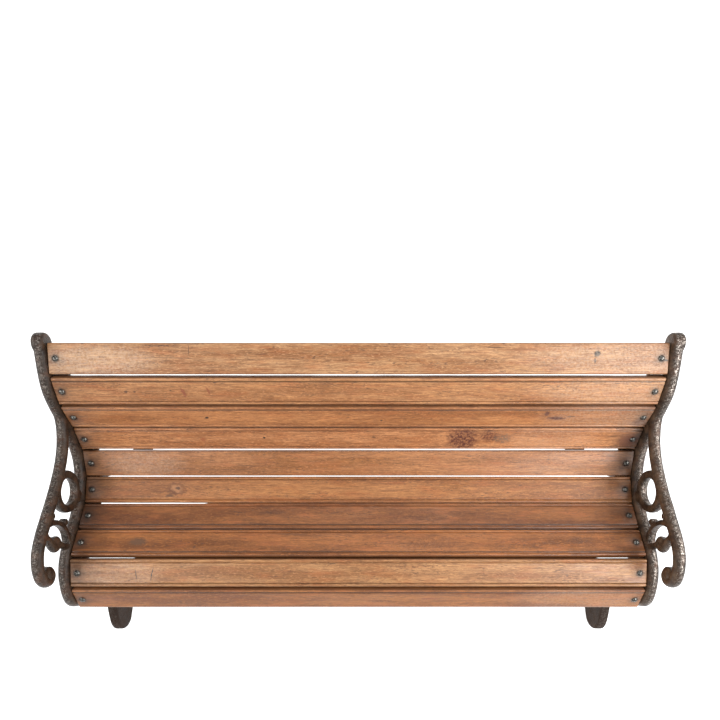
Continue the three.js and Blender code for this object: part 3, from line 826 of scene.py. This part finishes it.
# Each slat from the top of the back to the front roll: the moulding of its back and front edge, its light
# and dark colour, dirt and painted shade at its left and right end, depth of painted shade in its back and
# front quirk, how its back and front edge stand out along X, and its marks as (x, y, length, width, slope,
# colour, strength). A mark in the sheen colour is a painted sheen.
SLATS = [
    dict(
        edges=(5, 4), colours=("#c29367", "#9e6b41"), end_dirt_and_shade=(0.15, 0.05), quirks=(0, 0),
        grow=(straight, straight),
        marks=[
            (584, 12, 21, 19, 0, BLACK, 1), (580, -5, 8, 14, 0, BROWN, 1), (750, -4, 30, 6, -10, BLACK, 1),
            (330, 26, 60, 3, 0, BROWN, 0.8), (-480, 31, 120, 5, 0, BROWN, 0.9),
            (660, 2, 6, 4, 0, BROWN, 0.7), (-415, 20, 2.4, 34, 0, BROWN, 0.8),
            (-640, -6, 340, 90, 0, PAINTED_SHEEN, 0.25), (640, 0, 560, 100, 0, PAINTED_SHEEN, 0.2),
        ],
    ),
    dict(
        edges=("bead", "bead"), colours=("#c08959", "#9e683c"), end_dirt_and_shade=(0.3, 0.05), quirks=(0.75, 0.6),
        grow=(straight, straight),
        marks=[
            (-470, 3, 5, 4, 0, BLACK, 0.8), (-438, -2, 12, 34, 24, "#7a3f28", 0.8),
            (120, -27, 8, 3, 0, BLACK, 0.8), (-376, 4, 8, 26, 16, "#7a3f28", 0.7),
            (-582, 0, 12, 8, 0, BROWN, 0.9), (-560, 0, 9, 7, 0, BROWN, 0.8),
            (660, 0, 520, 100, 0, PAINTED_SHEEN, 0.15),
        ],
    ),
    dict(
        edges=("bead", "bead"), colours=("#c08250", "#9c6337"), end_dirt_and_shade=(0.35, 0.45), quirks=(0.7, 0.4),
        grow=(straight, straight),
        marks=[
            (516, -2, 58, 15, -3, BURN, 1), (488, 15, 16, 20, 0, BURN, 0.9), (552, 4, 30, 9, 0, BROWN, 0.7),
            (742, -16, 52, 40, 20, "#4f2d1d", 0.7), (-395, 0, 13, 8, 0, BLACK, 1),
            (60, -10, 9, 7, 0, BROWN, 0.9), (640, 0, 400, 100, 0, PAINTED_SHEEN, 0.15),
        ],
    ),
    dict(
        edges=("bead", "bead"), colours=("#c98b5b", "#a4683c"), end_dirt_and_shade=(0.45, 0.8), quirks=(0.3, 0.3),
        grow=(straight, swollen(-2.2)),
        marks=[
            (282, 2, 100, 96, 0, BURN, 1), (352, 12, 62, 44, 0, BURN, 0.9), (388, 4, 64, 40, 0, GREY, 0.8),
            (-255, 6, 9, 7, 0, BLACK, 1), (40, 8, 12, 7, 0, BLACK, 0.7),
            (-420, 0, 18, 15, 0, "#8a4c2c", 0.8), (728, -4, 58, 60, 20, "#5b3220", 0.7),
            (520, 0, 300, 100, 0, PAINTED_SHEEN, 0.1),
        ],
    ),
    dict(
        edges=(3, 3), colours=("#b67b4c", "#925c2e"), end_dirt_and_shade=(0.6, 0.8), quirks=(0, 0),
        grow=(swollen(-2.2), straight),
        marks=[(-590, 0, 260, 90, 0, PAINTED_SHEEN, 0.15), (545, 0, 260, 90, 0, PAINTED_SHEEN, 0.05)],
    ),
    dict(
        edges=("bead", "bead"), colours=("#b27948", "#905c34"), end_dirt_and_shade=(0.65, 0.45), quirks=(0.6, 0.3),
        grow=(straight, swollen(1.4, -430)),
        marks=[
            (-508, 0, 58, 42, -12, "#5f3a25", 0.9), (-506, 2, 42, 26, -12, "#9d6d47", 0.9),
            (-526, -17, 24, 10, 0, BROWN, 0.8), (-503, 3, 20, 10, -12, BROWN, 0.9),
        ],
    ),
    dict(
        edges=("bead", "bead"), colours=("#8f5a30", "#673b1d"), end_dirt_and_shade=(0.75, 0.4), quirks=(0.2, 0.85),
        grow=(swollen(1.8, -430), swollen(1.7)),
        marks=[(150, 4, 190, 34, 0, "#4b2b1a", 0.5), (-240, 8, 90, 14, 0, "#4b2d1c", 0.7)],
    ),
    dict(
        edges=("bead", "bead"), colours=("#a16535", "#72431f"), end_dirt_and_shade=(0.6, 0.3), quirks=(0.2, 0.8),
        grow=(swollen(1.7), swollen(1.3, -600, 640)),
        marks=[
            (-590, 2, 58, 26, 6, "#5a3f2c", 0.9), (200, 0, 210, 40, 0, "#5c3419", 0.5),
            (590, 6, 90, 24, 0, BROWN, 0.5),
        ],
    ),
    dict(
        edges=("bead", "bead"), colours=("#b78658", "#94643b"), end_dirt_and_shade=(0.55, 0.05), quirks=(0.3, 0.7),
        grow=(swollen(0.8, -600, 640), straight),
        marks=[
            (-587, -3, 2.6, 34, 8, BLACK, 1), (-545, -2, 2.6, 48, -14, BLACK, 1),
            (330, 12, 8, 4, 0, BROWN, 0.7), (-640, 0, 260, 90, 0, PAINTED_SHEEN, 0.1),
        ],
    ),
    dict(
        edges=("bead", 9), colours=("#a26836", "#7a4620"), end_dirt_and_shade=(0.25, 0.05), quirks=(0.75, 0),
        grow=(straight, straight),
        marks=[
            (60, -6, 90, 10, 0, "#5a3622", 0.8), (-600, 4, 120, 14, 0, "#6a4129", 0.6),
            (190, 4, 60, 8, 0, "#7a3f26", 0.7), (600, 0, 420, 100, 0, PAINTED_SHEEN, 0.1),
        ],
    ),
]

for i, slat in enumerate(SLATS):
    name = f"slat_{i + 1:02d}"
    seed = i * 1.37 + 0.6
    wood = oiled_timber(
        i + 1, *slat["colours"], seed, SLAT_WIDTHS[i], slat["end_dirt_and_shade"], slat["quirks"], slat["marks"],
    )
    piece("timber_" + name, slat_mesh(i, slat["edges"], *slat["grow"]), wood, name, slat_place(i))

# The right end is rubbed barer, with a stronger painted highlight on its crowns, and is dustier than the
# left.
for side_name, side, wear_and_highlight, dust in (("right", 1, 1.0, 0.4), ("left", -1, 0.55, 0.15)):
    iron = cast_iron(side_name, wear_and_highlight, dust, side * 2.7)
    piece(side_name + "_casting", cast(side_name, side), iron, side_name + "_end_frame")

steel = dulled_steel()
bolt, nut = bolt_mesh(), nut_mesh()
for i in range(len(SLATS)):
    for side_name, side in (("left", -1), ("right", 1)):
        label = f"{i + 1:02d}_{side_name}"
        turn = Matrix.Rotation(i * 1.9 + side, 4, "Z")
        place = slat_place(i) @ Matrix.Translation((side * BOLT_X * MM, 0, 0))
        piece("coach_bolt_" + label, bolt, steel, "bolt_" + label, place @ turn)
        piece("square_nut_" + label, nut, steel, "nut_" + label, place)


# ---------------------------------------------------------------- floor, light and camera

FLOOR_HALF = 12000
FLOOR_DEPTH = 60


def area_light(name, place, aim, size, power):
    """A soft lamp at a place in metres, turned to face a point. Its power is in watts."""
    lamp = bpy.data.lights.new(name, "AREA")
    lamp.shape = "RECTANGLE"
    lamp.size, lamp.size_y = size
    lamp.energy = power
    holder = show(name, lamp)
    holder.location = place
    holder.rotation_euler = (Vector(aim) - Vector(place)).to_track_quat("-Z", "Y").to_euler()


square = [(x * FLOOR_HALF, y * FLOOR_HALF) for x, y in ((-1, -1), (1, -1), (1, 1), (-1, 1))]
floor_rings = [[(x, y, z) for x, y in square] for z in (-FLOOR_DEPTH, 0)]
floor = show("floor", mesh_of("floor", [loft(floor_rings)]))
floor.data.materials.append(lit_acrylic())

studio = bpy.data.worlds.new("studio")
studio.use_nodes = True
background = studio.node_tree.nodes["Background"]
background.inputs["Color"].default_value = WHITE
background.inputs["Strength"].default_value = 0.6
bpy.context.scene.world = studio
area_light("key", (1.6, -1.2, 1.9), (0.4, 0, 0.5), (0.9, 0.9), 42)
area_light("fill", (-1.5, -1.1, 2.0), (-0.4, 0, 0.5), (0.9, 0.9), 18)
area_light("right_rim", (2.2, 0.1, 1.8), (0.77, 0, 0.55), (0.6, 1.4), 40)
area_light("left_rim", (-2.3, 0, 1.8), (-0.77, 0, 0.55), (0.7, 1.4), 14)
area_light("top", (0.3, 1.5, 2.2), (0.1, 0, 0.5), (1.6, 0.5), 12)
bpy.context.scene.view_settings.view_transform = "Standard"
bpy.context.scene.view_settings.look = "None"

# The camera stands before the seat at a standing eye's height and looks 18 degrees off straight down.
lens = bpy.data.cameras.new("camera")
lens.lens = 26.62
lens.sensor_width = 36
lens.shift_y = 0.151
camera = show("camera", lens)
camera.location = (0.004, -0.385, 1.852)
camera.rotation_euler = (math.radians(18), 0, 0)
bpy.context.scene.camera = camera
